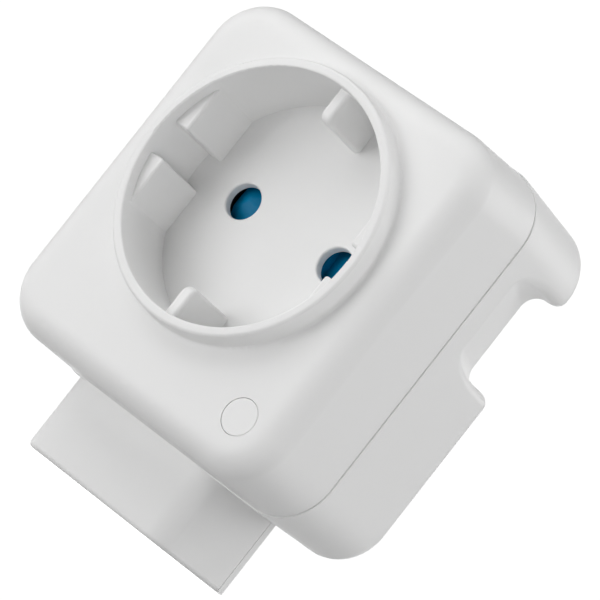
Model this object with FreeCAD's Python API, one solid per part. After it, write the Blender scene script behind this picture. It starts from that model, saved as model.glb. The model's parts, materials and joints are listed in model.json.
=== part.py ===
import FreeCAD, Part
import math
import os

V = FreeCAD.Vector
os.makedirs("parts", exist_ok=True)

# Millimetres. Origin on the socket axis at the rim, X right, Y to the rear, Z up.

# Casing
half_width = 26.8
top_z = 25.6
bottom_z = -32.8
corner_r = 8.2
face_y = 3.4
face_edge_r = 4.0
front_side_draft = 0.25
front_top_draft = 1.0
wall = 2.0
seam_y = 20.1
seam_gap = 0.04
rear_y = 41.0
rear_edge_r = 3.5
rear_step = 0.2
rear_draft = 0.84
rear_wall = 2.4
lip_wall = 1.0
lip_reach = 2.0
lip_gap = 0.1
lip_root = 1.8
seam_chamfer = 0.1

# Socket recess
recess_r = 19.4
recess_depth = 12.7
well_wall = 1.4
well_floor = 1.5
rim_wall = 1.45
rim_inner_round = 0.3
rim_outer_round = 0.5
collar_draft = 0.2
collar_blend_r = 0.5
pole_x = 9.5
hole_r = 2.75
hole_edge = 0.3
key_flat_x = 16.7
key_gap = 2.6
key_drop = 2.0
key_edge = 0.45
fin_wall = 2.1
fin_tip_r = 14.35
fin_drop = 2.5
fin_tip_round = 1.4
fin_edge = 0.7

# Plug on the rear
pin_r = 2.4
pin_length = 19.0
pin_z = -4.0
pin_tip = 1.0
pin_root = 0.3
pin_fit = 0.03
plug_face_r = 16.0
plug_face_rise = 1.5
pin_flange_r = 4.0
pin_flange = 2.0
pin_stub_r = 1.6
pin_stub = 1.4

# Finger pockets in the sides of the rear shell
pocket_z0 = -0.45
pocket_z1 = 15.4
pocket_start_y = 23.85
pocket_depth = 7.5
pocket_round = 2.5
pocket_wall = 1.8
pocket_edge_r = 1.6

# Block below the rear shell
block_x0 = -19.9
block_x1 = 9.9
block_z = -44.95
block_rear_y = 40.8
block_front_r = 3.3
block_edge_r = 0.8
block_wall = 2.0

# Rear cover
cover_wall = 2.2
cover_side = 1.7
cover_top = 4.1
cover_bottom = 3.8
cover_corner_r = 4.0
cover_gap = 0.1
cover_ledge = 1.8
plug_face_edge_r = 0.5
tab_wall = 1.9

# Screws
screw_top_inset = 3.1
screw_top_drop = 3.0
screw_low_inset = 4.8
screw_low_rise = 2.4
screw_r = 1.15
screw_head_r = 2.1
screw_head = 1.2
screw_head_edge_r = 0.35
screw_sink = 0.1
screw_bite = 8.0
screw_clear = 0.15
thread_clear = 0.03
boss_r = 2.4
drive_slot = 0.6
drive_share = 0.6
web_half = 0.6

# Shutter
part_gap = 0.1
shutter_gap = 0.2
shutter_front_gap = 0.8
shutter_depth = 3.4
lobe_over = 0.2
lobe_half_angle = 21.0
crown_flat = 0.3
crown_slope = 0.36
crown_out = 1.2
crown_up = 0.75
hub_r = 2.2
web_r = 6.5
web_wall = 0.8
pivot_r = 1.0
pivot_clear = 0.06
pivot_seat = 0.8
coil_r = 3.4
coil_wire_r = 0.2
coil_pitch = 0.5
coil_turns = 2

# Contact carrier
carrier_side_gap = 0.95
carrier_z = 6.2
carrier_front = 1.0
carrier_leg = 1.6
cavity_x = 3.6
cavity_z = 3.1
cap_wall = 0.8
post_r = 1.4
post_inset = 1.8
post_z = 3.2
leaf_wall = 0.6
leaf_gap = 0.05
leaf_z = 2.5
leaf_back_gap = 0.5
leaf_start = 0.9
tail_x = 6.4
tail_half = 1.4
tail_drop = 0.4

# Board and what it carries
board_front_y = 20.0
board_wall = 1.6
board_side_gap = 0.45
board_low_gap = 0.2
board_top_gap = 0.2
board_corner_r = 6.2
lead_r = 0.35
lead_clear = 0.1
lead_out = 1.0
busbar_wall = 0.8
busbar_x0 = 8.2
busbar_x1 = 12.4
busbar_z = -7.8
busbar_over = 1.0

# Button
button_inset = 7.75
button_rise = 8.1
button_r = 2.75
button_gap = 0.06
button_travel = 0.5
button_flange = 1.0
button_flange_r = 3.5
button_rest_gap = 0.1
button_edge_r = 0.15
guide_tube_wall = 0.9
guide_tube_depth = 3.0
stem_r = 1.5
switch_size = 6.0
switch_height = 3.5
switch_bore = 1.7
plunger_reach = 0.9
plunger_end_gap = 0.2

# Radio module in the block
radio_wall = 1.0
radio_side = 3.85
radio_low = 2.6
radio_top = 0.6
header_height = 2.4
header_width = 5.2
header_depth = 2.4
header_side = 0.7
shield_side = 4.0
shield_low = 4.5
shield_top = 0.3
shield_height = 2.4
shield_round = 0.4
antenna_wall = 0.3
antenna_width = 0.8
antenna_side = 2.2
antenna_low = 0.6
antenna_depth = 3.2
antenna_runs = 8
guide_wall = 0.7
guide_gap = 0.1
guide_bite = 0.8


def box(x0, x1, y0, y1, z0, z1):
    return Part.makeBox(x1 - x0, y1 - y0, z1 - z0, V(x0, y0, z0))


def rod(r, y0, y1, x=0.0, z=0.0):
    return Part.makeCylinder(r, y1 - y0, V(x, y0, z), V(0, 1, 0))


def outline(x0, x1, z0, z1, r, y):
    """Rounded rectangle in the plane y."""
    corners = [(x1 - r, z0 + r, 270), (x1 - r, z1 - r, 0), (x0 + r, z1 - r, 90), (x0 + r, z0 + r, 180)]
    arcs = []
    for cx, cz, start in corners:
        turn = [math.radians(start + a) for a in (0, 45, 90)]
        arcs.append(Part.Arc(*[V(cx + r * math.cos(a), y, cz + r * math.sin(a)) for a in turn]).toShape())
    edges = []
    for here, after in zip(arcs, arcs[1:] + arcs[:1]):
        edges += [here, Part.makeLine(here.Vertexes[-1].Point, after.Vertexes[0].Point)]
    return Part.Wire(Part.__sortEdges__(edges))


def slab(x0, x1, z0, z1, r, y0, y1):
    return Part.Face(outline(x0, x1, z0, z1, r, y0)).extrude(V(0, y1 - y0, 0))


def fuse(first, *others):
    return first.fuse(list(others)).removeSplitter()


def edges_at_y(shape, y):
    return [e for e in shape.Edges if all(abs(v.Point.y - y) < 1e-4 for v in e.Vertexes)]


def casing(inset, y0, y1):
    """Casing's outline at the seam, set in from its outside and drawn straight."""
    return slab(-half_width + inset, half_width - inset, bottom_z + inset, top_z - inset,
                corner_r - inset, y0, y1)


def front_outside(y0, y1):
    """Front shell's outline, which draws in at the sides and the top from the seam to the face."""
    wires = []
    for y in (y0, y1):
        share = (seam_y - y) / (seam_y - face_y)
        side = half_width - front_side_draft * share
        wires.append(outline(-side, side, bottom_z, top_z - front_top_draft * share, corner_r, y))
    return Part.makeLoft(wires, True, True)


def tapered(inset, y0, y1):
    """Rear shell's outline, which draws in by rear_draft from the seam to the rear."""
    wires = []
    for y in (y0, y1):
        grow = rear_step - inset - rear_draft * (y - seam_y) / (rear_y - seam_y)
        wires.append(outline(-half_width - grow, half_width + grow, bottom_z - grow, top_z + grow,
                             corner_r + grow, y))
    return Part.makeLoft(wires, True, True)


def pockets(grow):
    """Both finger pockets, whose floors slant in towards the rear, or their walls when grown."""
    front_x = half_width + rear_step
    slope = (front_x - pocket_rear_x) / (rear_y - pocket_start_y)
    shift = grow * math.hypot(1, slope)
    y0, y1 = pocket_start_y - wall - grow, rear_y + wall
    far = half_width + 2 * wall
    low, high = pocket_z0 - grow, pocket_z1 + grow

    def floor_x(y):
        return front_x - shift - slope * (y - pocket_start_y)

    corners = [V(floor_x(y0), y0, low), V(floor_x(y1), y1, low), V(far, y1, low), V(far, y0, low)]
    right = Part.Face(Part.makePolygon(corners + corners[:1])).extrude(V(0, 0, high - low))
    along = (corners[1] - corners[0]).normalize()
    floor_edges = [e for e in right.Edges if e.tangentAt(e.FirstParameter).cross(along).Length < 1e-6]
    right = right.makeFillet(pocket_round + grow / 2, floor_edges)
    return right, right.mirror(V(0, 0, 0), V(1, 0, 0))


def biarc(p0, t0, p1, t1):
    """Two arcs from p0 to p1 that leave along t0 and arrive along t1."""
    chord, t = p1 - p0, t0 + t1
    a = 2 * (1 - t0.dot(t1))
    b = chord.dot(t)
    c = chord.dot(chord)
    d = c / (2 * b) if a < 1e-9 else (-b + math.sqrt(b * b + a * c)) / a
    joint = (p0 + p1 + (t0 - t1) * d) * 0.5
    edges = []
    for start, tangent, end in ((p0, t0, joint), (p1, t1 * -1, joint)):
        half = (end - start) * 0.5
        along = V(half).normalize()
        side = tangent - along * tangent.dot(along)
        angle = tangent.getAngle(along)
        top = start + half + V(side).normalize() * (half.Length * math.tan(angle / 2))
        edges.append(Part.Arc(start, top, end).toShape())
    return edges


def coil(radius, wire_r, pitch, turns, y0):
    """Round wire wound about the Y axis, in half turns."""
    slope = pitch / (2 * math.pi)

    def point(a):
        return V(radius * math.cos(a), y0 + slope * a, radius * math.sin(a))

    def tangent(a):
        return V(-radius * math.sin(a), slope, radius * math.cos(a)).normalize()

    edges = []
    for k in range(2 * turns):
        a, b = k * math.pi, (k + 1) * math.pi
        edges += biarc(point(a), tangent(a), point(b), tangent(b))
    ring = Part.Wire(Part.makeCircle(wire_r, point(0), tangent(0)))
    return Part.Wire(edges).makePipeShell([ring], True, False)


lobe_r = pole_x + hole_r + lobe_over
carrier_x = lobe_r + carrier_side_gap + carrier_leg
post_x = carrier_x - post_inset
pocket_rear_x = half_width - pocket_depth
cover_half_width = pocket_rear_x - cover_side
cover_top_z = top_z - cover_top
cover_bottom_z = bottom_z + cover_bottom
screw_top_x = cover_half_width - screw_top_inset
screw_top_z = cover_top_z - screw_top_drop
screw_low_x = cover_half_width - screw_low_inset
screw_low_z = cover_bottom_z + screw_low_rise
board_half_width = half_width - wall - lip_gap - lip_wall - board_side_gap
board_top_z = -carrier_z - board_top_gap
board_bottom_z = bottom_z + wall + lip_gap + lip_wall + board_low_gap
boss_space = screw_low_x - boss_r
button_x = half_width - button_inset
button_z = bottom_z + button_rise
screw_places = [(-screw_top_x, screw_top_z), (screw_top_x, screw_top_z),
                (-screw_low_x, screw_low_z), (screw_low_x, screw_low_z)]
floor_back = recess_depth + well_floor
collar_r = recess_r + rim_wall
board_back_y = board_front_y + board_wall
radio_y = board_back_y + header_height
radio_x0 = block_x0 + radio_side
radio_x1 = block_x1 - radio_side
radio_z0 = block_z + radio_low
radio_z1 = bottom_z - radio_top
front_end = seam_y - seam_gap / 2
rear_start = seam_y + seam_gap / 2
cover_inner_y = rear_y - cover_wall
ledge_y = cover_inner_y - cover_ledge
screw_head_y = rear_y - screw_head - screw_sink
carrier_y0 = floor_back + shutter_depth
carrier_y1 = cover_inner_y - pin_flange - pin_stub - part_gap - cap_wall
leaf_length = carrier_y1 - carrier_y0 - carrier_front - leaf_start - leaf_wall - leaf_back_gap


def rounded(shape, radius, keep):
    """Shape with each edge rounded that keep says yes to."""
    return shape.makeFillet(radius, [e for e in shape.Edges if keep(e)])


def side_keys():
    """Two keys on each side of the recess, whose tops and edges are rounded."""
    foot = recess_depth + well_floor / 2
    inside = rod(recess_r + well_wall / 2, key_drop, foot)
    keys = []
    for side in (-1, 1):
        x0, x1 = sorted((side * key_flat_x, side * (recess_r + well_wall)))
        for z0, z1 in ((key_gap, recess_r), (-recess_r, -key_gap)):
            key = box(x0, x1, key_drop, foot, z0, z1).common(inside)
            keys.append(rounded(key, key_edge, lambda e: e.BoundBox.YMin < recess_depth
                                and math.hypot(e.CenterOfMass.x, e.CenterOfMass.z) < recess_r
                                and e.Curve.TypeId == "Part::GeomLine"))
    return keys


def side_fins():
    """Thin fins at the top and the bottom of the recess, rounded at their tips."""
    foot = recess_depth + well_floor / 2
    fins = []
    for side in (-1, 1):
        tip_z = side * fin_tip_r
        z0, z1 = sorted((tip_z, side * (recess_r + well_wall / 2)))
        fin = box(-fin_wall / 2, fin_wall / 2, fin_drop, foot, z0, z1)
        fin = rounded(fin, fin_tip_round, lambda e: e.BoundBox.YMax < fin_drop + 0.01
                      and abs(e.CenterOfMass.z - tip_z) < 0.01)
        fins.append(rounded(fin, fin_edge, lambda e: abs(e.CenterOfMass.x) > fin_wall / 2 - 0.01
                            and e.BoundBox.YMin < recess_depth and abs(e.CenterOfMass.z) < recess_r))
    return fins


def boss_end(z):
    """The lower bosses stop at the board, the upper ones meet those of the rear shell."""
    return board_front_y if z < 0 else front_end


def front_shell():
    """Front of the casing, moulded in one with the collar and the well of the recess."""
    outer = front_outside(face_y, front_end)
    outer = outer.makeFillet(face_edge_r, edges_at_y(outer, face_y))
    collar = Part.makeCone(collar_r, collar_r + collar_draft, face_y + wall, V(0, 0, 0), V(0, 1, 0))
    body = fuse(outer, collar)
    body = rounded(body, collar_blend_r, lambda e: isinstance(e.Curve, Part.Circle)
                   and e.Curve.Radius > recess_r and abs(e.Curve.Center.y - face_y) < 1e-4)
    body = rounded(body, rim_outer_round, lambda e: e.BoundBox.YMax < 0.01)
    hollow = casing(wall, face_y + wall, seam_y + 1)
    hollow = hollow.makeFillet(face_edge_r - wall, edges_at_y(hollow, face_y + wall))
    body = body.cut(hollow)
    adds = [rod(recess_r + well_wall, face_y, floor_back)]
    for x, z in screw_places:
        adds.append(rod(boss_r, face_y + wall / 2, boss_end(z), x, z))
    guide_r = button_flange_r + button_gap + guide_tube_wall
    adds.append(rod(guide_r, face_y + wall / 2, face_y + wall + guide_tube_depth, button_x, button_z))
    body = fuse(body, *adds)
    cuts = [rod(recess_r, -1, recess_depth),
            rod(pivot_r + pivot_clear, floor_back - pivot_seat, floor_back + 1)]
    for x in (-pole_x, pole_x):
        cuts.append(rod(hole_r, recess_depth - 1, floor_back + 1, x))
    for x, z in screw_places:
        cuts.append(rod(screw_r + thread_clear, boss_end(z) - screw_bite - 1, boss_end(z) + 1, x, z))
    cuts.append(rod(button_r + button_gap, face_y - 1, face_y + wall + 1, button_x, button_z))
    cuts.append(rod(button_flange_r + button_gap, face_y + wall, face_y + wall + guide_tube_depth + 1,
                    button_x, button_z))
    body = body.cut(cuts)
    body = rounded(body, rim_inner_round, lambda e: e.BoundBox.YMax < 0.01
                   and abs(math.hypot(e.Vertexes[0].Point.x, e.Vertexes[0].Point.z) - recess_r) < 0.01)
    body = rounded(body, hole_edge, lambda e: isinstance(e.Curve, Part.Circle)
                   and abs(e.Curve.Radius - hole_r) < 1e-6 and abs(e.BoundBox.YMax - recess_depth) < 1e-4)
    return fuse(body, *side_keys(), *side_fins())


def shutter_rotor():
    """Two lobes behind the holes, crowned so that a pin's tip slides off and turns them."""
    y0 = floor_back + shutter_front_gap
    y1 = carrier_y0 - shutter_gap
    rotor = fuse(rod(hub_r, y0, y1), rod(web_r, y0, y0 + web_wall))
    for side in (0, 180):
        angles = [math.radians(side + a) for a in (-lobe_half_angle, 0, lobe_half_angle)]
        arc = Part.Arc(*[V(lobe_r * math.cos(a), y0, lobe_r * math.sin(a)) for a in angles]).toShape()
        root_r = web_r - 1.0
        ends = [V(root_r * math.cos(a), y0, root_r * math.sin(a)) for a in (angles[0], angles[2])]
        first, last = arc.Vertexes[0].Point, arc.Vertexes[-1].Point
        wire = Part.Wire([arc, Part.makeLine(last, ends[1]), Part.makeLine(ends[1], ends[0]),
                          Part.makeLine(ends[0], first)])
        lobe = Part.Face(wire).extrude(V(0, y1 - y0, 0))
        top, drop = crown_flat, y1 - y0
        foot = top + drop / crown_slope
        crown = Part.makeWedge(-top, 0, -top, -foot, -foot, top, drop, top, foot, foot)
        turn = math.cos(math.radians(side))
        crown.translate(V(turn * (pole_x + crown_out), y0, turn * -crown_up))
        lobe = lobe.common(fuse(crown, rod(web_r, y0, y1)))
        rotor = fuse(rotor, lobe)
    return rotor.cut(rod(pivot_r + pivot_clear, y0 - 1, y1 + 1))


def shutter_pivot():
    return rod(pivot_r, floor_back - pivot_seat + part_gap, carrier_y0 + carrier_front)


def shutter_spring():
    y0 = floor_back + shutter_front_gap + web_wall + coil_wire_r + part_gap
    return coil(coil_r, coil_wire_r, coil_pitch, coil_turns, y0)


def contact_carrier():
    body = box(-carrier_x, carrier_x, carrier_y0, carrier_y1, -carrier_z, carrier_z)
    legs = [box(x, x + carrier_leg, floor_back, carrier_y0 + 1, -carrier_z, carrier_z)
            for x in (-carrier_x, carrier_x - carrier_leg)]
    body = fuse(body, *legs)
    cuts = [rod(pivot_r + pivot_clear, carrier_y0 - 1, carrier_y0 + carrier_front + part_gap)]
    for side in (-1, 1):
        x = side * pole_x
        cuts.append(rod(hole_r, carrier_y0 - 1, carrier_y1 + 1, x))
        cuts.append(box(x - cavity_x, x + cavity_x, carrier_y0 + carrier_front, carrier_y1 + 1,
                        -cavity_z, cavity_z))
        slot_half = tail_half + part_gap
        t0, t1 = side * tail_x - slot_half, side * tail_x + slot_half
        slot_y = carrier_y0 + carrier_front + leaf_start + leaf_length
        cuts.append(box(t0, t1, slot_y - part_gap, carrier_y1 + 1, -carrier_z - 1, 0))
    return body.cut(cuts)


def carrier_cap():
    return box(-carrier_x, carrier_x, carrier_y1, carrier_y1 + cap_wall, -carrier_z, carrier_z)


def contact(side):
    """Two leaves that grip a pin, joined at the rear, and a tail down to the board."""
    x = side * pole_x
    y0 = carrier_y0 + carrier_front + leaf_start
    y1 = y0 + leaf_length
    near = pin_r + leaf_gap
    leaves = [box(x + s * near - (leaf_wall if s < 0 else 0), x + s * near + (leaf_wall if s > 0 else 0),
                  y0, y1 + leaf_wall, -leaf_z, leaf_z) for s in (-1, 1)]
    bridge = box(x - near, x + near, y1, y1 + leaf_wall, -leaf_z, leaf_z)
    tail_z = -carrier_z - tail_drop
    t0, t1 = side * tail_x - tail_half, side * tail_x + tail_half
    drop = box(t0, t1, y1, y1 + leaf_wall, tail_z - leaf_wall, 0)
    foot = box(t0, t1, board_back_y, y1 + leaf_wall, tail_z - leaf_wall, tail_z)
    return fuse(bridge, *leaves, drop, foot)


def busbar(side):
    """Strip from the plug pin's flange to the board."""
    flange_y = cover_inner_y - pin_flange
    x0, x1 = sorted((side * busbar_x0, side * busbar_x1))
    low = busbar_z - busbar_wall
    strip = box(x0, x1, board_back_y, flange_y, low, busbar_z)
    tab = box(x0, x1, flange_y - busbar_wall, flange_y, low, pin_z + pin_stub_r + busbar_over)
    hole = rod(pin_stub_r + part_gap, flange_y - 2, flange_y + 1, side * pole_x, pin_z)
    return fuse(strip, tab).cut(hole)


def plug_pin(side):
    x = side * pole_x
    flange_y = cover_inner_y - pin_flange
    root = rear_y + plug_face_rise
    tip = root + pin_length
    shank = rod(pin_r, flange_y, tip, x, pin_z)
    end = [e for e in shank.Edges if e.BoundBox.YMin > tip - 0.01]
    shank = shank.makeFillet(pin_tip, end)
    flange = rod(pin_flange_r, flange_y, cover_inner_y, x, pin_z)
    stub = rod(pin_stub_r, flange_y - pin_stub, flange_y + 1, x, pin_z)
    foot = rod(pin_r + pin_root, flange_y, root, x, pin_z)
    return fuse(shank, flange, foot, stub)


# Parts on the board, ranged between its sides and the lower bosses
part_side = 0.7
part_space = 2.0
part_close = 0.3
module_width = 14.0
module_height = 13.4
module_rise = 4.0
module_top = 3.6
relay_height = 14.6
relay_rise = 5.1
relay_top = 2.8
relay_coil_pitch = 5.0
relay_edge_r = 0.6
module_edge_r = 0.5
lead_inset = 2.0
cap_side = 0.95
cap_height = 11.0
cap_rise = 0.6
cap_lead_pitch = 1.25
cap_edge_r = 0.5
varistor_r = 3.3
varistor_wall = 2.8
varistor_rise = 1.0
varistor_seat = 0.3
varistor_edge_r = 0.9
varistor_lead_pitch = 2.0
fuse_r = 1.5
fuse_seat = 0.05
fuse_side = 0.9
fuse_cap = 0.5
led_width = 1.6
led_depth = 1.0
led_height = 0.8
led_inset = 1.2
led_z = -18.6
header_pin = 0.6
header_pitch = 1.2

part_x = board_half_width - part_side
module_box = (part_x - module_width, part_x, screw_low_z + module_rise, board_top_z - module_top)
relay_box = (-part_x, module_box[0] - part_space, screw_low_z + relay_rise, board_top_z - relay_top)
cap_r = (2 * boss_space - header_width - 2 * header_side - cap_side - part_close) / 4
cap_x = boss_space - cap_side - cap_r
cap_places = [(cap_x, screw_low_z + cap_rise), (cap_x - 2 * cap_r - part_close, screw_low_z + cap_rise)]
header_x = -boss_space + header_side
header_z = board_bottom_z - part_gap
header_box = (header_x, header_x + header_width, header_z, header_z + header_depth)
header_pins = [header_x + header_width / 2 + k * header_pitch for k in (-1.5, -0.5, 0.5, 1.5)]
side_space = (screw_low_x + boss_r + board_half_width) / 2
varistor_place = (-side_space, screw_low_z + varistor_rise)
fuse_place = (side_space, screw_low_z + cap_rise)
fuse_reach = (board_half_width - screw_low_x - boss_r) / 2 - fuse_side
fuse_length = 2 * (fuse_reach - fuse_cap)
led_place = (board_half_width - led_inset, led_z)


def corner_leads(corners):
    x0, x1, z0, z1 = corners
    return [(x, z) for x in (x0 + lead_inset, x1 - lead_inset) for z in (z0 + lead_inset, z1 - lead_inset)]


relay_leads = corner_leads(relay_box)[:2]
relay_leads += [(relay_box[1] - lead_inset - relay_coil_pitch, z) for x, z in relay_leads]
relay_leads.append((relay_box[1] - lead_inset, (relay_box[2] + relay_box[3]) / 2))
module_leads = corner_leads(module_box)


def leads_of(places, y0, y1):
    return [rod(lead_r, y0, y1, x, z) for x, z in places]


def cap_leads():
    return [(x + s * cap_lead_pitch, z) for x, z in cap_places for s in (-1, 1)]


def varistor_leads():
    x, z = varistor_place
    return [(x, z - varistor_lead_pitch), (x, z + varistor_lead_pitch)]


def fuse_leads():
    x, z = fuse_place
    return [(x - fuse_reach, z), (x + fuse_reach, z)]


def main_board():
    board = slab(-board_half_width, board_half_width, board_bottom_z, board_top_z + board_corner_r,
                 board_corner_r, board_front_y, board_back_y)
    board = board.common(box(-half_width, half_width, 0, rear_y, bottom_z, board_top_z))
    places = relay_leads + module_leads + cap_leads() + varistor_leads() + fuse_leads()
    cuts = [rod(lead_r + lead_clear, board_front_y - 1, board_back_y + 1, x, z) for x, z in places]
    for x, z in screw_places:
        cuts.append(rod(screw_r + screw_clear, board_front_y - 1, board_back_y + 1, x, z))
    return board.cut(cuts)


def boxed_part(corners, height, leads, top_round):
    x0, x1, z0, z1 = corners
    body = box(x0, x1, board_back_y, board_back_y + height, z0, z1)
    body = body.makeFillet(top_round, edges_at_y(body, board_back_y + height))
    return fuse(body, *leads_of(leads, board_front_y - lead_out, board_back_y + 0.5))


def relay():
    return boxed_part(relay_box, relay_height, relay_leads, relay_edge_r)


def power_module():
    return boxed_part(module_box, module_height, module_leads, module_edge_r)


def filter_capacitors():
    solids = []
    for x, z in cap_places:
        can = rod(cap_r, board_back_y, board_back_y + cap_height, x, z)
        can = can.makeFillet(cap_edge_r, [e for e in can.Edges if e.BoundBox.YMin > board_back_y + 1])
        pair = leads_of([(x - cap_lead_pitch, z), (x + cap_lead_pitch, z)],
                        board_front_y - lead_out, board_back_y + 0.5)
        solids.append(fuse(can, *pair))
    return Part.makeCompound(solids)


def varistor():
    x, z = varistor_place
    y = board_back_y + varistor_r + varistor_seat
    disc = Part.makeCylinder(varistor_r, varistor_wall, V(x - varistor_wall / 2, y, z), V(1, 0, 0))
    disc = disc.makeFillet(varistor_edge_r, [e for e in disc.Edges if len(e.Vertexes) == 1])
    return fuse(disc, *leads_of(varistor_leads(), board_front_y - lead_out, y))


def fuse_resistor():
    x, z = fuse_place
    y = board_back_y + fuse_r + fuse_seat
    body = Part.makeCylinder(fuse_r, fuse_length, V(x - fuse_length / 2, y, z), V(1, 0, 0))
    wire = Part.makeCylinder(lead_r, 2 * fuse_reach, V(x - fuse_reach, y, z), V(1, 0, 0))
    return fuse(body, wire, *leads_of(fuse_leads(), board_front_y, y))


def status_led():
    x, z = led_place
    return box(x - led_width / 2, x + led_width / 2, board_front_y - led_height, board_front_y,
               z - led_depth / 2, z + led_depth / 2)


def pin_header():
    x0, x1, z0, z1 = header_box
    body = box(x0, x1, board_back_y, radio_y, z0, z1)
    half = header_pin / 2
    pins = [box(x - half, x + half, board_back_y + half, radio_y, z1 - half, z1 + half) for x in header_pins]
    return fuse(body, *pins)


def radio_module():
    board = box(radio_x0, radio_x1, radio_y, radio_y + radio_wall, radio_z0, radio_z1)
    neck = box(header_box[0], header_box[1], radio_y, radio_y + radio_wall, radio_z1 - 1, header_box[3])
    return fuse(board, neck)


def radio_shield():
    y0 = radio_y + radio_wall
    y1 = y0 + shield_height
    can = box(radio_x0 + shield_side, radio_x1 - shield_side, y0, y1,
              radio_z0 + shield_low, radio_z1 - shield_top)
    return can.makeFillet(shield_round, edges_at_y(can, y1))


def radio_antenna():
    """Flat strip that folds to and fro along the end of the radio board."""
    y0 = radio_y + radio_wall
    y1 = y0 + antenna_wall
    width = antenna_width
    low = radio_z0 + antenna_low
    high = low + antenna_depth
    start = radio_x0 + antenna_side
    pitch = (radio_x1 - radio_x0 - 2 * antenna_side - width) / (antenna_runs - 1)
    runs = []
    for k in range(antenna_runs):
        x = start + k * pitch
        runs.append(box(x, x + width, y0, y1, low, high))
        if k < antenna_runs - 1:
            z = high - width if k % 2 else low
            runs.append(box(x, x + pitch + width, y0, y1, z, z + width))
    return fuse(runs[0], *runs[1:])


def tact_switch():
    half = switch_size / 2
    front = board_front_y - switch_height
    body = box(button_x - half, button_x + half, front, board_front_y, button_z - half, button_z + half)
    bore = rod(stem_r + part_gap, front - 1, front + switch_bore, button_x, button_z)
    return body.cut(bore)


def button_parts():
    """Cap with its flange and stem, and the switch's plunger that it pushes."""
    cap_back = face_y + wall + button_rest_gap
    flange_end = cap_back + button_flange
    front = board_front_y - switch_height
    stem_end = front - plunger_reach
    cap = rod(button_r, face_y, cap_back + 0.5, button_x, button_z)
    cap = cap.makeFillet(button_edge_r, [e for e in cap.Edges if e.BoundBox.YMax < face_y + 0.01])
    flange = rod(button_flange_r, cap_back, flange_end, button_x, button_z)
    stem = rod(stem_r, flange_end - 0.5, stem_end, button_x, button_z)
    button = fuse(cap, flange, stem)
    plunger_end = front + switch_bore - button_travel - plunger_end_gap
    plunger = rod(stem_r, stem_end, plunger_end, button_x, button_z)
    return button, plunger


def shared_edges(shape, one, other):
    """Edges of shape whose middle lies on the surface of both solids."""
    found = []
    for e in shape.Edges:
        middle = Part.Vertex(e.valueAt((e.FirstParameter + e.LastParameter) / 2))
        if all(middle.distToShape(s.Shells[0])[0] < 1e-4 for s in (one, other)):
            found.append(e)
    return found


def tab_box(grow):
    """Tab of the rear cover, which closes the block from behind."""
    return box(block_x0 - grow, block_x1 + grow, block_rear_y - tab_wall - grow, block_rear_y + grow,
               block_z - grow, cover_bottom_z + cover_corner_r + grow)


def rear_shell():
    whole = tapered(0, rear_start, rear_y)
    whole = whole.makeFillet(rear_edge_r, edges_at_y(whole, rear_y))
    whole = whole.makeChamfer(seam_chamfer, edges_at_y(whole, rear_start))
    outer = whole
    for pocket in pockets(0):
        cut = outer.cut(pocket)
        soft = [e for e in shared_edges(cut, outer, pocket) if e.BoundBox.YMax > pocket_start_y + 1]
        outer = cut.makeFillet(pocket_edge_r, soft)
    block = box(block_x0, block_x1, rear_start, block_rear_y, block_z, bottom_z + corner_r)
    fronts = [e for e in block.Edges if abs(e.BoundBox.YMax - rear_start) < 1e-4
              and e.BoundBox.XLength < 1e-4]
    block = block.makeFillet(block_front_r, fronts)
    block = block.makeFillet(block_edge_r, [e for e in block.Edges if e.BoundBox.ZMax < block_z + 1e-4])
    outer = fuse(outer, block)
    hollow = tapered(rear_wall, rear_start - 1, ledge_y)
    hollow = hollow.cut(list(pockets(pocket_wall)))
    inside = box(block_x0 + block_wall, block_x1 - block_wall, rear_start + block_wall, block_rear_y + 1,
                 block_z + block_wall, bottom_z - rear_step)
    window = box(-boss_space, block_x1 - block_wall, rear_start + block_wall, ledge_y,
                 bottom_z - rear_step - 1, bottom_z + rear_wall + 1)
    ledge = cover_plate(-cover_ledge, ledge_y - 1, rear_y + 2)
    seat = cover_plate(cover_gap, cover_inner_y, rear_y + 2)
    body = outer.cut([hollow, inside, window, ledge, seat, tab_box(cover_gap)])
    lip_out = wall + lip_gap
    lip = casing(lip_out, seam_y - lip_reach, rear_start + 0.1)
    lip = lip.cut(casing(lip_out + lip_wall, seam_y - lip_reach - 1, rear_start + 1))
    root = casing(wall - rear_step, rear_start, rear_start + lip_root)
    root = root.cut(casing(lip_out + lip_wall, rear_start - 1, rear_start + lip_root + 1))
    adds = [lip, root]
    for x, z in screw_places:
        start = board_back_y if z < 0 else front_end
        adds.append(rod(boss_r, start, cover_inner_y, x, z))
        reach = bottom_z + rear_wall / 2 if z < 0 else top_z - rear_wall / 2
        z0, z1 = sorted((z, reach))
        adds.append(box(x - web_half, x + web_half, board_back_y, cover_inner_y, z0, z1))
    slot = radio_y - guide_gap, radio_y + radio_wall + guide_gap
    inside_wall = block_wall / 2
    for y0, y1 in ((slot[0] - guide_wall, slot[0]), (slot[1], slot[1] + guide_wall)):
        for x0, x1 in ((block_x0 + inside_wall, radio_x0 + guide_bite),
                       (radio_x1 - guide_bite, block_x1 - inside_wall)):
            adds.append(box(x0, x1, y0, y1, block_z + inside_wall, radio_z1))
    body = fuse(body, *adds)
    cuts = [rod(screw_r + screw_clear, front_end - 1, rear_y + 1, x, z) for x, z in screw_places]
    return body.cut(cuts)


def cover_plate(grow, y0, y1):
    """Outline of the rear cover between the finger pockets."""
    return slab(-cover_half_width - grow, cover_half_width + grow, cover_bottom_z - grow,
                cover_top_z + grow, cover_corner_r + grow, y0, y1)


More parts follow.
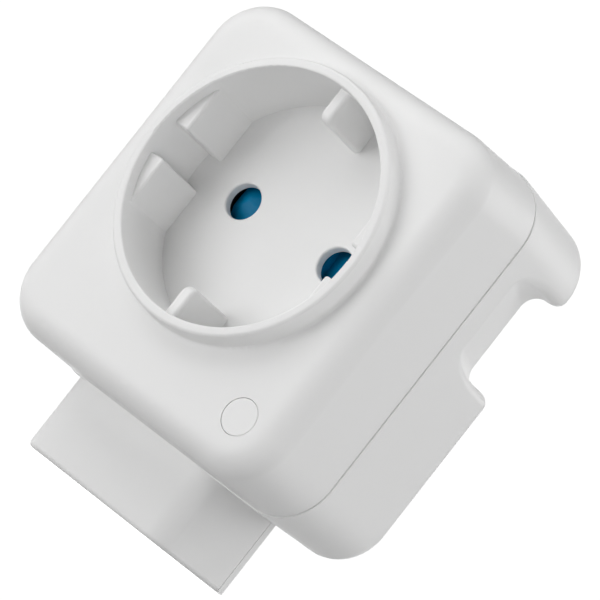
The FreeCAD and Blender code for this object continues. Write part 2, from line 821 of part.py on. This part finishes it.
def rear_cover():
    tab = tab_box(0)
    backs = [e for e in tab.Edges if e.BoundBox.YMin > block_rear_y - 1e-4 and e.BoundBox.ZMin < block_z + 1]
    tab = tab.makeFillet(block_edge_r, backs)
    raised = rod(plug_face_r, cover_inner_y + 1, rear_y + plug_face_rise)
    raised = raised.makeFillet(plug_face_edge_r, [e for e in raised.Edges if e.BoundBox.YMin > rear_y])
    posts = [rod(post_r, carrier_y1 + cap_wall, cover_inner_y + 1, x, post_z) for x in (-post_x, post_x)]
    cover = fuse(cover_plate(0, cover_inner_y, rear_y), tab, raised, *posts)
    foot_r = pin_r + pin_root + pin_fit
    cuts = [rod(foot_r, cover_inner_y - 1, rear_y + 3, x, pin_z) for x in (-pole_x, pole_x)]
    for x, z in screw_places:
        cuts.append(rod(screw_r + screw_clear, cover_inner_y - 1, rear_y + 1, x, z))
        cuts.append(rod(screw_head_r + screw_clear, screw_head_y, rear_y + 1, x, z))
    return cover.cut(cuts)


def case_screws():
    solids = []
    for x, z in screw_places:
        end = boss_end(z) - screw_bite
        head = rod(screw_head_r, screw_head_y, screw_head_y + screw_head, x, z)
        top = screw_head_y + screw_head
        head = rounded(head, screw_head_edge_r, lambda e: e.BoundBox.YMin > top - 0.01)
        screw = fuse(head, rod(screw_r, end, top - screw_head / 2, x, z))
        long, short = screw_head_r * drive_share, drive_slot / 2
        cross = [box(x - long, x + long, top - drive_slot, top + 1, z - short, z + short),
                 box(x - short, x + short, top - drive_slot, top + 1, z - long, z + long)]
        solids.append(screw.cut(cross))
    return Part.makeCompound(solids)


power_button, switch_plunger = button_parts()
nodes = {
    "front_shell": front_shell(),
    "shutter_rotor": shutter_rotor(),
    "shutter_pivot": shutter_pivot(),
    "shutter_spring": shutter_spring(),
    "contact_carrier": contact_carrier(),
    "carrier_cap": carrier_cap(),
    "live_contact": contact(1),
    "neutral_contact": contact(-1),
    "live_busbar": busbar(1),
    "neutral_busbar": busbar(-1),
    "live_plug_pin": plug_pin(1),
    "neutral_plug_pin": plug_pin(-1),
    "main_board": main_board(),
    "relay": relay(),
    "power_module": power_module(),
    "filter_capacitors": filter_capacitors(),
    "varistor": varistor(),
    "fuse_resistor": fuse_resistor(),
    "status_led": status_led(),
    "tact_switch": tact_switch(),
    "switch_plunger": switch_plunger,
    "power_button": power_button,
    "pin_header": pin_header(),
    "radio_module": radio_module(),
    "radio_shield": radio_shield(),
    "radio_antenna": radio_antenna(),
    "rear_shell": rear_shell(),
    "rear_cover": rear_cover(),
    "case_screws": case_screws(),
}
for name, shape in nodes.items():
    shape.exportStep("parts/" + name + ".step")
    print(name, len(shape.Solids), shape.isValid(), round(shape.Volume, 1))
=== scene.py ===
import bpy, json, math
from mathutils import Matrix, Vector

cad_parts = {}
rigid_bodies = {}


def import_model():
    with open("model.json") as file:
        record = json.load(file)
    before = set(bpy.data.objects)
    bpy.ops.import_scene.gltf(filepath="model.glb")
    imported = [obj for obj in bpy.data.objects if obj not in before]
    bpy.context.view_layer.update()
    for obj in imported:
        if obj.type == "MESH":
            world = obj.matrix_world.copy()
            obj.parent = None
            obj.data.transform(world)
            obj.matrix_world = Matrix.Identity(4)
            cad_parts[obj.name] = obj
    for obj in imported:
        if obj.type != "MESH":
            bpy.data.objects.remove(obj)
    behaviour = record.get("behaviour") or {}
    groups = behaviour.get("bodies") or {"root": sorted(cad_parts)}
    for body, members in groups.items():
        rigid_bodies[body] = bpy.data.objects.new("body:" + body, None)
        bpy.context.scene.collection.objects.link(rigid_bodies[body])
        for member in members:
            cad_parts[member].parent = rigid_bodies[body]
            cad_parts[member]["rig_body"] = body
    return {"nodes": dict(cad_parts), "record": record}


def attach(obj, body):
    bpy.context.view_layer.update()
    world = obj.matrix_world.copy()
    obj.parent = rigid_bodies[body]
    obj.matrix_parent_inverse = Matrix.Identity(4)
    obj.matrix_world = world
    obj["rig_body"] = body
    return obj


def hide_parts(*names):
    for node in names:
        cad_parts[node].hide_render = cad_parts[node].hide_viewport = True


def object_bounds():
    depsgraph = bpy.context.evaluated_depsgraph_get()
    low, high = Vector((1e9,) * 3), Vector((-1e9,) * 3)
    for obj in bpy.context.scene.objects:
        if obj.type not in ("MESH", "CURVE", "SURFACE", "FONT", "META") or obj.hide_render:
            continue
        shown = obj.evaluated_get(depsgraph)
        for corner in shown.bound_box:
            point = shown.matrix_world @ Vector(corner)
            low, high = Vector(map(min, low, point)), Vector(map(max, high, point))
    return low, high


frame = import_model()
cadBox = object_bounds()
cadNodes = frame["nodes"]
bpy.ops.object.select_all(action="DESELECT")
print("frame loaded,", len(cadNodes), "nodes")


noiseMean = 0.5
colourMix = {"amount": 0, "low": 6, "high": 7, "result": 2}          # sockets of a Mix node set to colours


# Shader sums written as plain expressions
class Value:
    def __init__(self, tree, socket):
        self.tree, self.socket = tree, socket

    def combine(self, operation, first, second):
        node = self.tree.nodes.new("ShaderNodeMath")
        node.operation = operation
        for slot, part in zip(node.inputs, (first, second)):
            if isinstance(part, Value):
                self.tree.links.new(part.socket, slot)
            else:
                slot.default_value = part
        return Value(self.tree, node.outputs[0])

    def __add__(self, other):
        return self.combine("ADD", self, other)

    def __radd__(self, other):
        return self.combine("ADD", other, self)

    def __sub__(self, other):
        return self.combine("SUBTRACT", self, other)

    def __rsub__(self, other):
        return self.combine("SUBTRACT", other, self)

    def __mul__(self, other):
        return self.combine("MULTIPLY", self, other)

    def __rmul__(self, other):
        return self.combine("MULTIPLY", other, self)

    def __gt__(self, other):
        return self.combine("GREATER_THAN", self, other)

    def wrapped(self, span):
        return self.combine("PINGPONG", self, span)

    def swing(self, spread):                 # a noise turned into a swing to both sides of zero
        return (self - noiseMean) * spread


# Nodes of one tree, any kind of them by one method
class NodeTree:
    def __init__(self, tree):
        self.tree = tree

    def feed(self, node, values):
        for key, value in values.items():
            slot = node.inputs[key.replace("_", " ") if isinstance(key, str) else key]
            if isinstance(value, Value):
                self.tree.links.new(value.socket, slot)
            else:
                slot.default_value = value

    def node(self, kind, settings=(), out=0, numbered=(), **values):
        node = self.tree.nodes.new("ShaderNode" + kind)
        for key, value in dict(settings).items():
            setattr(node, key, value)
        self.feed(node, {**dict(numbered), **values})
        return Value(self.tree, node.outputs[out])


# One material and the patterns that it is made of
class Finish(NodeTree):
    def __init__(self, name, **sockets):
        self.material = bpy.data.materials.new(name)
        self.material.use_nodes = True
        super().__init__(self.material.node_tree)
        self.surface = self.tree.nodes["Principled BSDF"]
        self.feed(self.surface, sockets)

    def place(self):
        return self.node("TexCoord", out="Object")

    def axes(self, names):
        spot = self.place()
        return [self.node("SeparateXYZ", out=axis, Vector=spot) for axis in names]

    def noise(self, scale, detail=2.0, rough=0.5, stretch=(1, 1, 1)):
        spot = self.node("Mapping", {"vector_type": "POINT"}, Vector=self.place(), Scale=stretch)
        return self.node("TexNoise", Vector=spot, Scale=scale, Detail=detail, Roughness=rough)

    def blend(self, amount, low, high):
        sockets = {colourMix["amount"]: amount, colourMix["low"]: low, colourMix["high"]: high}
        return self.node("Mix", {"data_type": "RGBA"}, colourMix["result"], sockets)

    def bump(self, height, strength, distance):
        return self.node("Bump", Height=height, Strength=strength, Distance=distance)

    def set(self, **values):
        self.feed(self.surface, values)
        return self.material


def tone(red, green, blue):
    return (red, green, blue, 1.0)


# Finishes, one for each material slot of the record. Noise scales are per metre, heights in metres

grainHeight = 0.00002


def mouldedPlastic(name, look):
    finish = Finish(name, Specular_IOR_Level=look["specular"], IOR=1.5)
    grain = finish.noise(look["grainScale"], detail=3.0, rough=0.6)
    cloud = finish.noise(look["cloudScale"])
    colour = finish.blend(cloud, look["shade"], look["colour"])
    rough = look["rough"] + cloud.swing(look["roughSpread"]) + grain.swing(look["roughSpread"])
    return finish.set(Base_Color=colour, Roughness=rough,
                      Normal=finish.bump(grain, look["grainDepth"], grainHeight))


plasticLooks = {
    "casing_white": {"colour": tone(0.865, 0.865, 0.862), "shade": tone(0.85, 0.85, 0.847),
                     "specular": 0.35, "rough": 0.42, "roughSpread": 0.05,
                     "grainScale": 5200.0, "grainDepth": 0.22, "cloudScale": 60.0},
    "button_white": {"colour": tone(0.87, 0.87, 0.867), "shade": tone(0.86, 0.86, 0.857),
                     "specular": 0.4, "rough": 0.34, "roughSpread": 0.04,
                     "grainScale": 6500.0, "grainDepth": 0.15, "cloudScale": 90.0},
    "shutter_blue": {"colour": tone(0.0, 0.25, 0.49), "shade": tone(0.0, 0.225, 0.45),
                     "specular": 0.12, "rough": 0.30, "roughSpread": 0.06,
                     "grainScale": 4200.0, "grainDepth": 0.2, "cloudScale": 180.0},
    "grey_nylon": {"colour": tone(0.46, 0.47, 0.48), "shade": tone(0.42, 0.43, 0.44),
                   "specular": 0.4, "rough": 0.5, "roughSpread": 0.1,
                   "grainScale": 3200.0, "grainDepth": 0.3, "cloudScale": 120.0},
    "black_nylon": {"colour": tone(0.025, 0.026, 0.028), "shade": tone(0.018, 0.018, 0.02),
                    "specular": 0.45, "rough": 0.46, "roughSpread": 0.12,
                    "grainScale": 3000.0, "grainDepth": 0.35, "cloudScale": 140.0},
    "relay_case": {"colour": tone(0.015, 0.06, 0.20), "shade": tone(0.012, 0.05, 0.17),
                   "specular": 0.5, "rough": 0.30, "roughSpread": 0.08,
                   "grainScale": 3800.0, "grainDepth": 0.2, "cloudScale": 110.0},
    "capacitor_sleeve": {"colour": tone(0.02, 0.022, 0.04), "shade": tone(0.015, 0.016, 0.03),
                         "specular": 0.5, "rough": 0.25, "roughSpread": 0.08,
                         "grainScale": 2000.0, "grainDepth": 0.1, "cloudScale": 150.0},
    "disc_coat": {"colour": tone(0.03, 0.11, 0.36), "shade": tone(0.02, 0.09, 0.30),
                  "specular": 0.5, "rough": 0.35, "roughSpread": 0.1,
                  "grainScale": 1500.0, "grainDepth": 0.5, "cloudScale": 260.0},
    "ceramic": {"colour": tone(0.34, 0.42, 0.33), "shade": tone(0.29, 0.37, 0.28),
                "specular": 0.4, "rough": 0.55, "roughSpread": 0.1,
                "grainScale": 2600.0, "grainDepth": 0.5, "cloudScale": 300.0},
    "led_lens": {"colour": tone(0.80, 0.80, 0.62), "shade": tone(0.74, 0.74, 0.56),
                 "specular": 0.6, "rough": 0.15, "roughSpread": 0.05,
                 "grainScale": 3000.0, "grainDepth": 0.1, "cloudScale": 400.0},
}


def drawnMetal(name, look):
    finish = Finish(name, Metallic=1.0)
    lines = finish.noise(look["lineScale"], rough=0.6, stretch=look["stretch"])
    cloud = finish.noise(metalSurface["cloudScale"], detail=3.0, rough=0.6)
    colour = finish.blend(cloud, look["shade"], look["colour"])
    rough = look["rough"] + lines.swing(metalSurface["lineSpread"])
    return finish.set(Base_Color=colour, Roughness=rough + cloud.swing(metalSurface["cloudSpread"]),
                      Normal=finish.bump(lines, look["depth"], grainHeight))


metalSurface = {"cloudScale": 260.0, "cloudSpread": 0.12, "lineSpread": 0.18}
metalLooks = {
    "plated_pin": {"colour": tone(0.68, 0.665, 0.63), "shade": tone(0.60, 0.585, 0.55), "rough": 0.26,
                   "lineScale": 900.0, "stretch": (0.4, 6.0, 0.4), "depth": 0.25},
    "contact_brass": {"colour": tone(0.72, 0.50, 0.18), "shade": tone(0.62, 0.42, 0.14), "rough": 0.32,
                      "lineScale": 1200.0, "stretch": (0.3, 0.3, 5.0), "depth": 0.3},
    "zinc_steel": {"colour": tone(0.58, 0.59, 0.61), "shade": tone(0.48, 0.49, 0.52), "rough": 0.34,
                   "lineScale": 1100.0, "stretch": (4.0, 0.5, 4.0), "depth": 0.3},
    "tin_shield": {"colour": tone(0.62, 0.63, 0.64), "shade": tone(0.55, 0.56, 0.57), "rough": 0.38,
                   "lineScale": 1300.0, "stretch": (5.0, 0.3, 0.3), "depth": 0.25},
}


# Tracks run across in some regions of the board and up in the others
def circuitBoard(name, look):
    finish = Finish(name, Specular_IOR_Level=look["specular"],
                    Coat_Weight=look["coat"], Coat_Roughness=look["coatRough"])
    across, up = finish.axes("XZ")
    acrossWaver = finish.noise(look["acrossWaverScale"], detail=0.0) * look["waver"]
    upWaver = finish.noise(look["upWaverScale"], detail=0.0) * look["waver"]
    lanes = (across * look["laneScale"] + acrossWaver).wrapped(look["laneSpan"])
    runs = (up * look["laneScale"] + upWaver).wrapped(look["laneSpan"])
    region = finish.noise(look["regionScale"], detail=0.0) > noiseMean
    tracks = (lanes * region + runs * (1.0 - region)) > look["trackEdge"]
    grain = finish.noise(look["grainScale"])
    height = tracks + grain * look["grainShare"]
    return finish.set(Base_Color=finish.blend(tracks, look["mask"], look["track"]),
                      Roughness=look["rough"] + grain.swing(look["roughSpread"]),
                      Normal=finish.bump(height, look["depth"], look["trackHeight"]))


boardLook = {"mask": tone(0.012, 0.10, 0.035), "track": tone(0.03, 0.19, 0.07),
             "specular": 0.5, "coat": 0.3, "coatRough": 0.15, "rough": 0.38, "roughSpread": 0.12,
             "laneScale": 420.0, "laneSpan": 0.5, "acrossWaverScale": 90.0, "upWaverScale": 70.0,
             "waver": 1.5, "regionScale": 110.0, "trackEdge": 0.3, "trackHeight": 0.00004,
             "grainScale": 5000.0, "grainShare": 0.2, "depth": 0.3}

finishes = {name: mouldedPlastic(name, look) for name, look in plasticLooks.items()}
finishes.update({name: drawnMetal(name, look) for name, look in metalLooks.items()})
finishes["board_green"] = circuitBoard("board_green", boardLook)
slotOf = {part["node"]: part["material_slot"] for part in frame["record"]["subparts"]}
for name, node in cadNodes.items():
    node.data.materials.clear()
    node.data.materials.append(finishes[slotOf[name]])
print("finishes made,", len(finishes))


# Shown mouldings: the same shapes with smooth shading
def smoothCopy(name, sharpAngle):
    source = cadNodes[name]
    piece = bpy.data.objects.new(name + "_moulding", source.data.copy())
    bpy.context.scene.collection.objects.link(piece)
    bpy.context.view_layer.objects.active = piece
    piece.select_set(True)
    bpy.ops.object.mode_set(mode="EDIT")
    bpy.ops.mesh.customdata_custom_splitnormals_clear()
    bpy.ops.mesh.select_all(action="SELECT")
    bpy.ops.mesh.remove_doubles(threshold=smoothing["mergeGap"])
    bpy.ops.object.mode_set(mode="OBJECT")
    bpy.ops.object.shade_smooth_by_angle(angle=math.radians(sharpAngle))
    weighted = piece.modifiers.new("weighted", "WEIGHTED_NORMAL")
    weighted.keep_sharp = True
    weighted.weight = smoothing["normalWeight"]
    bpy.ops.object.modifier_apply(modifier="weighted")
    piece.select_set(False)
    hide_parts(name)
    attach(piece, source["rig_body"])


smoothing = {"mergeGap": 1e-7, "normalWeight": 70}
sharpAngles = {                              # degrees between two faces, past which their edge stays sharp
    "front_shell": 32.0, "rear_shell": 32.0, "rear_cover": 32.0, "power_button": 32.0,
    "shutter_rotor": 20.0, "live_plug_pin": 32.0, "neutral_plug_pin": 32.0, "case_screws": 32.0,
}
for name, sharpAngle in sharpAngles.items():
    smoothCopy(name, sharpAngle)
print("mouldings smoothed,", len(sharpAngles))


# Floor
stage = {"gap": 0.0001, "middle": (0.0, 0.02), "radius": 0.42, "corners": 96, "glow": 0.9,
         "rough": 0.9, "specular": 0.1, "cloudScale": 12.0,
         "colour": tone(0.90, 0.90, 0.90), "shade": tone(0.88, 0.88, 0.88)}
paper = Finish("floor_paper", Roughness=stage["rough"], Specular_IOR_Level=stage["specular"])
paper.set(Base_Color=paper.blend(paper.noise(stage["cloudScale"]), stage["shade"], stage["colour"]),
          Emission_Color=stage["colour"], Emission_Strength=stage["glow"])
bpy.ops.mesh.primitive_circle_add(vertices=stage["corners"], radius=stage["radius"], fill_type="NGON",
                                  location=(*stage["middle"], cadBox[0][2] - stage["gap"]))
floor = bpy.context.object
floor.name = "floor"
floor.data.materials.append(paper.material)
floor.visible_diffuse = floor.visible_shadow = False      # it lights and shades nothing on the part

# Camera at the photograph's viewing angle, with its own axes as they lie in the part's frame
cameraLook = {
    "place": (0.36055057, -0.48719322, -0.04462589),
    "right": (0.66477705, 0.42123123, 0.61695683),
    "up": (-0.47728449, -0.39584301, 0.78454307),
    "back": (0.57469209, -0.81601015, -0.06210022),
    "lens": 269.0476, "sensor": 36.0,        # millimetres
    "nearest": 0.01, "furthest": 50.0,
}
cameraData = bpy.data.cameras.new("camera")
cameraData.lens, cameraData.sensor_width = cameraLook["lens"], cameraLook["sensor"]
cameraData.clip_start, cameraData.clip_end = cameraLook["nearest"], cameraLook["furthest"]
camera = bpy.data.objects.new("camera", cameraData)
bpy.context.scene.collection.objects.link(camera)
turn = Matrix([cameraLook["right"], cameraLook["up"], cameraLook["back"]]).transposed()
camera.matrix_world = Matrix.Translation(cameraLook["place"]) @ turn.to_4x4()
bpy.context.scene.camera = camera

# Soft lamps that all face the middle of the casing
lampAim = Vector((0.0, 0.02, -0.005))
lamps = {                                    # degrees round from the front and up, metres, watts
    "upper": {"around": -65.0, "rise": 35.0, "away": 1.00, "size": 0.55, "power": 0.565},
    "top": {"around": 60.0, "rise": 40.0, "away": 1.00, "size": 0.55, "power": 0.436},
    "right": {"around": 95.0, "rise": 12.0, "away": 1.00, "size": 0.55, "power": 2.295},
    "over": {"around": 100.0, "rise": 45.0, "away": 1.00, "size": 0.55, "power": 1.791},
    "rear": {"around": 150.0, "rise": 25.0, "away": 1.00, "size": 0.55, "power": 2.274},
    "below": {"around": -30.0, "rise": -15.0, "away": 1.00, "size": 0.55, "power": 2.513},
    "corner": {"around": 60.0, "rise": -15.0, "away": 1.00, "size": 0.55, "power": 1.450},
    "left": {"around": -65.0, "rise": 8.0, "away": 0.45, "size": 0.30, "power": 0.282},
    "high": {"around": -30.0, "rise": 60.0, "away": 0.45, "size": 0.30, "power": 0.182},
    "crown": {"around": 0.0, "rise": 80.0, "away": 0.45, "size": 0.30, "power": 0.248},
    "near": {"around": -30.0, "rise": 30.0, "away": 0.45, "size": 0.30, "power": 0.612},
    "side": {"around": 70.0, "rise": 0.0, "away": 1.00, "size": 0.55, "power": 0.415},
    "low": {"around": -10.0, "rise": -8.0, "away": 1.00, "size": 0.55, "power": 1.525},
    "back": {"around": 205.0, "rise": 12.0, "away": 1.00, "size": 0.55, "power": 1.200},
}
for name, lamp in lamps.items():
    lampData = bpy.data.lights.new(name, "AREA")
    lampData.energy, lampData.size = lamp["power"], lamp["size"]
    light = bpy.data.objects.new(name, lampData)
    bpy.context.scene.collection.objects.link(light)
    around, rise = math.radians(lamp["around"]), math.radians(lamp["rise"])
    level = math.cos(rise)
    outward = Vector((math.sin(around) * level, -math.cos(around) * level, math.sin(rise)))
    light.location = lampAim + outward * lamp["away"]
    light.rotation_mode = "QUATERNION"
    light.rotation_quaternion = (-outward).to_track_quat("-Z", "Y")

# Light from all round, which fades from below to above, and the white background that the camera sees
ambient = {"shown": 1.05, "below": 0.22, "above": 0.0}
world = bpy.data.worlds.new("studio")
bpy.context.scene.world = world
world.use_nodes = True
sky = NodeTree(world.node_tree)
height = sky.node("SeparateXYZ", out="Z", Vector=sky.node("TexCoord", out="Generated"))
cast = sky.node("MapRange", Value=height, From_Min=-1.0, From_Max=1.0,
                To_Min=ambient["below"], To_Max=ambient["above"])
strength = sky.node("MapRange", Value=sky.node("LightPath", out="Is Camera Ray"),
                    To_Min=cast, To_Max=ambient["shown"])
sky.feed(world.node_tree.nodes["Background"], {"Color": tone(1.0, 1.0, 1.0), "Strength": strength})
bpy.context.scene.view_settings.view_transform = "Standard"
print("stage set,", len(lamps), "lamps")
